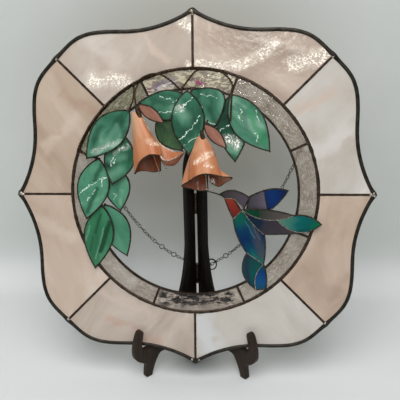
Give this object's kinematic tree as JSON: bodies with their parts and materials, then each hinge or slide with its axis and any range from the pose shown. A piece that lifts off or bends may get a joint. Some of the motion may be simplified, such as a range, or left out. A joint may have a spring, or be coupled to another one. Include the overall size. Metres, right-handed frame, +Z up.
{
  "type": "stained glass suncatcher",
  "caption": "Framed stained glass panel with leaves, trumpet flowers and a hummingbird round an open centre, with a hanging chain, resting on a hinged wooden easel.",
  "frame": {"origin": "bottom centre of the whole object's box, on the surface that the easel's feet stand on", "axes": "+Z up, -Y towards the viewer, on the side where the flowers and the bird are, +X to the viewer's right; the panel leans back 10 degrees from upright"},
  "size_m": [0.4142, 0.092, 0.4281],
  "materials": {
    "opal_glass": "glossy, streaked opalescent",
    "ripple_glass": "clear with rippled, slightly iridescent surface",
    "green_glass": "glossy, streaked",
    "peach_glass": "glossy, streaked opalescent",
    "rose_glass": "glossy, streaked opalescent",
    "slate_glass": "glossy, streaked",
    "red_glass": "glossy",
    "blue_glass": "glossy, streaked",
    "teal_glass": "glossy, streaked",
    "solder": "solder with a dark patina, satin",
    "vine_copper": "twisted wire with a dark patina",
    "chain_steel": "plain steel, slightly dull",
    "dark_wood": "dark stained, satin varnish",
    "hinge_brass": "aged, satin"
  },
  "bodies": {
    "root": {"rim_came": "solder", "seam_web": "solder", "border_glass_1": "opal_glass", "ring_glass_1": "ripple_glass", "border_glass_2": "opal_glass", "ring_glass_2": "ripple_glass", "border_glass_3": "opal_glass", "ring_glass_3": "ripple_glass", "border_glass_4": "opal_glass", "ring_glass_4": "ripple_glass", "border_glass_5": "opal_glass", "ring_glass_5": "ripple_glass", "border_glass_6": "opal_glass", "ring_glass_6": "ripple_glass", "border_glass_7": "opal_glass", "ring_glass_7": "ripple_glass", "border_glass_8": "opal_glass", "ring_glass_8": "ripple_glass", "leaf_left_1": "green_glass", "leaf_left_2": "green_glass", "leaf_left_3": "green_glass", "leaf_left_4": "green_glass", "leaf_left_5": "green_glass", "leaf_left_6": "green_glass", "left_spray_seams": "solder", "leaf_top_1": "green_glass", "leaf_top_2": "green_glass", "leaf_top_3": "green_glass", "leaf_top_4": "green_glass", "leaf_top_5": "green_glass", "leaf_top_6": "green_glass", "top_spray_seams": "solder", "flower_left_petal_front": "peach_glass", "flower_left_petal_right": "peach_glass", "flower_left_petal_left": "peach_glass", "flower_left_sepal": "rose_glass", "flower_left_seams": "solder", "flower_centre_petal_front": "peach_glass", "flower_centre_petal_right": "peach_glass", "flower_centre_petal_left": "peach_glass", "flower_centre_sepal": "rose_glass", "flower_centre_seams": "solder", "bird_head": "slate_glass", "bird_throat": "red_glass", "bird_body": "blue_glass", "bird_tail_left": "teal_glass", "bird_tail_right": "blue_glass", "bird_far_wing_inner": "slate_glass", "bird_far_wing_outer": "blue_glass", "bird_near_wing_top": "teal_glass", "bird_near_wing_middle": "slate_glass", "bird_near_wing_tip": "teal_glass", "bird_seams": "solder", "vine_wire": "vine_copper", "hanging_chain": "chain_steel", "hanging_ring": "chain_steel", "easel_board_left": "dark_wood", "easel_board_right": "dark_wood", "easel_hinge_upper": "hinge_brass", "easel_hinge_lower": "hinge_brass"}
  },
  "joints": []
}
